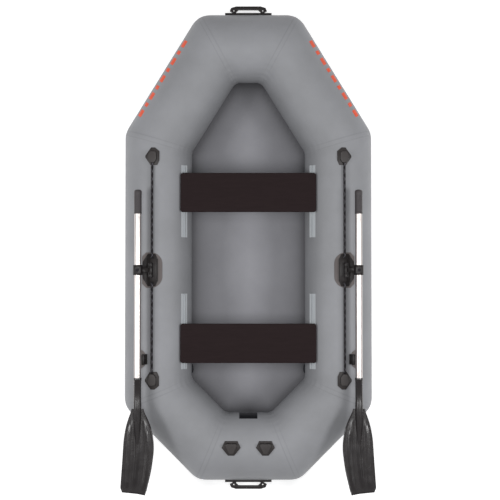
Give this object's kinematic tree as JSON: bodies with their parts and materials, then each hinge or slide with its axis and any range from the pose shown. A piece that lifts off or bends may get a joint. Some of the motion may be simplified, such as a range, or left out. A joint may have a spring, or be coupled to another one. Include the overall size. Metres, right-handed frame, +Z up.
{
  "type": "inflatable rowing dinghy",
  "caption": "Inflatable rowing dinghy with a faceted tube hull, a fabric floor, sliding bench seats, rowlocks with oars, lifelines and carrying handles.",
  "frame": {"origin": "underside of the bottom skin, at the middle of the hull's length and beam", "axes": "+Y to the bow, +X to starboard, +Z up"},
  "size_m": [1.334, 2.6, 0.462],
  "materials": {
    "hull_fabric": "matt calendered PVC coated fabric",
    "floor_fabric": "matt calendered PVC coated fabric",
    "patch_fabric": "matt coated patch",
    "seat_board": "plywood with a dark satin film",
    "rail_plastic": "extruded light grey PVC",
    "black_plastic": "moulded, fine grain",
    "valve_plastic": "moulded",
    "shaft_metal": "clear anodised tube",
    "steel": "stainless, turned",
    "rope": "braided polypropylene"
  },
  "bodies": {
    "hull": {"aft_seat_rails": "rail_plastic", "blank_plate": "black_plastic", "bottom_skin": "floor_fabric", "bow_handle": "black_plastic", "bow_tube": "hull_fabric", "chamber_bulkheads": "hull_fabric", "front_seat_rails": "rail_plastic", "handle_bases": "black_plastic", "oar_clip_patches": "patch_fabric", "port_bow_tube": "hull_fabric", "port_lifeline": "rope", "port_lifeline_eyes": "black_plastic", "port_oar_clip": "black_plastic", "port_rowlock_base": "black_plastic", "port_rowlock_pin": "steel", "port_side_tube": "hull_fabric", "port_stern_tube": "hull_fabric", "port_valve_body": "valve_plastic", "port_valve_spring": "steel", "rowlock_patches": "patch_fabric", "starboard_bow_tube": "hull_fabric", "starboard_lifeline": "rope", "starboard_lifeline_eyes": "black_plastic", "starboard_oar_clip": "black_plastic", "starboard_rowlock_base": "black_plastic", "starboard_rowlock_pin": "steel", "starboard_side_tube": "hull_fabric", "starboard_stern_tube": "hull_fabric", "starboard_valve_body": "valve_plastic", "starboard_valve_spring": "steel", "stern_eyes": "black_plastic", "stern_handle": "black_plastic", "stern_tube": "hull_fabric"},
    "front_seat": {"front_seat_board": "seat_board", "front_seat_runners": "black_plastic", "front_seat_screws": "steel"},
    "aft_seat": {"aft_seat_board": "seat_board", "aft_seat_runners": "black_plastic", "aft_seat_screws": "steel"},
    "starboard_rowlock_tilting_arm": {"starboard_rowlock_arm": "black_plastic"},
    "starboard_oar": {"starboard_oar_clamp": "black_plastic", "starboard_swing_bolt": "steel", "starboard_oar_shaft": "shaft_metal", "starboard_oar_grip": "black_plastic", "starboard_oar_blade": "black_plastic", "starboard_button_spring": "steel"},
    "starboard_blade_button": {"starboard_oar_button": "steel"},
    "starboard_valve_lid": {"starboard_valve_cap": "valve_plastic"},
    "starboard_valve_plunger": {"starboard_valve_stem": "valve_plastic"},
    "port_rowlock_tilting_arm": {"port_rowlock_arm": "black_plastic"},
    "port_oar": {"port_oar_clamp": "black_plastic", "port_swing_bolt": "steel", "port_oar_shaft": "shaft_metal", "port_oar_grip": "black_plastic", "port_oar_blade": "black_plastic", "port_button_spring": "steel"},
    "port_blade_button": {"port_oar_button": "steel"},
    "port_valve_lid": {"port_valve_cap": "valve_plastic"},
    "port_valve_plunger": {"port_valve_stem": "valve_plastic"}
  },
  "joints": [
    {"name": "front_seat_slide", "type": "slide", "parent": "hull", "child": "front_seat", "axis": [0, 1, 0], "range_m": [-0.13, 0.04]},
    {"name": "aft_seat_slide", "type": "slide", "parent": "hull", "child": "aft_seat", "axis": [0, 1, 0], "range_m": [-0.032, 0.155]},
    {"name": "starboard_rowlock_tilt", "type": "hinge", "parent": "hull", "child": "starboard_rowlock_tilting_arm", "pos_m": [0.511, -0.122, 0.392], "axis": [0, 1, 0], "range_deg": [-12, 20]},
    {"name": "starboard_oar_swing", "type": "hinge", "parent": "starboard_rowlock_tilting_arm", "child": "starboard_oar", "pos_m": [0.574, -0.122, 0.432], "axis": [0, 0, 1], "range_deg": [0, 135]},
    {"name": "starboard_blade_button_press", "type": "slide", "parent": "starboard_oar", "child": "starboard_blade_button", "axis": [0.7071, 0, 0.7071], "range_m": [-0.004, 0], "stiffness_N_per_m": 600, "deforming": ["starboard_button_spring"]},
    {"name": "starboard_valve_lid_turn", "type": "hinge", "parent": "hull", "child": "starboard_valve_lid", "pos_m": [0.487, -0.66, 0.1811], "axis": [-0.9063, 0, -0.4226], "range_deg": [0, 90]},
    {"name": "starboard_valve_press", "type": "slide", "parent": "hull", "child": "starboard_valve_plunger", "axis": [-0.9063, 0, -0.4226], "range_m": [-0.004, 0], "stiffness_N_per_m": 500, "deforming": ["starboard_valve_spring"]},
    {"name": "port_rowlock_tilt", "type": "hinge", "parent": "hull", "child": "port_rowlock_tilting_arm", "pos_m": [-0.511, -0.122, 0.392], "axis": [0, -1, 0], "range_deg": [-12, 20]},
    {"name": "port_oar_swing", "type": "hinge", "parent": "port_rowlock_tilting_arm", "child": "port_oar", "pos_m": [-0.574, -0.122, 0.432], "axis": [0, 0, -1], "range_deg": [0, 135]},
    {"name": "port_blade_button_press", "type": "slide", "parent": "port_oar", "child": "port_blade_button", "axis": [-0.7071, 0, 0.7071], "range_m": [-0.004, 0], "stiffness_N_per_m": 600, "deforming": ["port_button_spring"]},
    {"name": "port_valve_lid_turn", "type": "hinge", "parent": "hull", "child": "port_valve_lid", "pos_m": [-0.487, -0.66, 0.1811], "axis": [0.9063, 0, -0.4226], "range_deg": [0, 90]},
    {"name": "port_valve_press", "type": "slide", "parent": "hull", "child": "port_valve_plunger", "axis": [0.9063, 0, -0.4226], "range_m": [-0.004, 0], "stiffness_N_per_m": 500, "deforming": ["port_valve_spring"]}
  ]
}
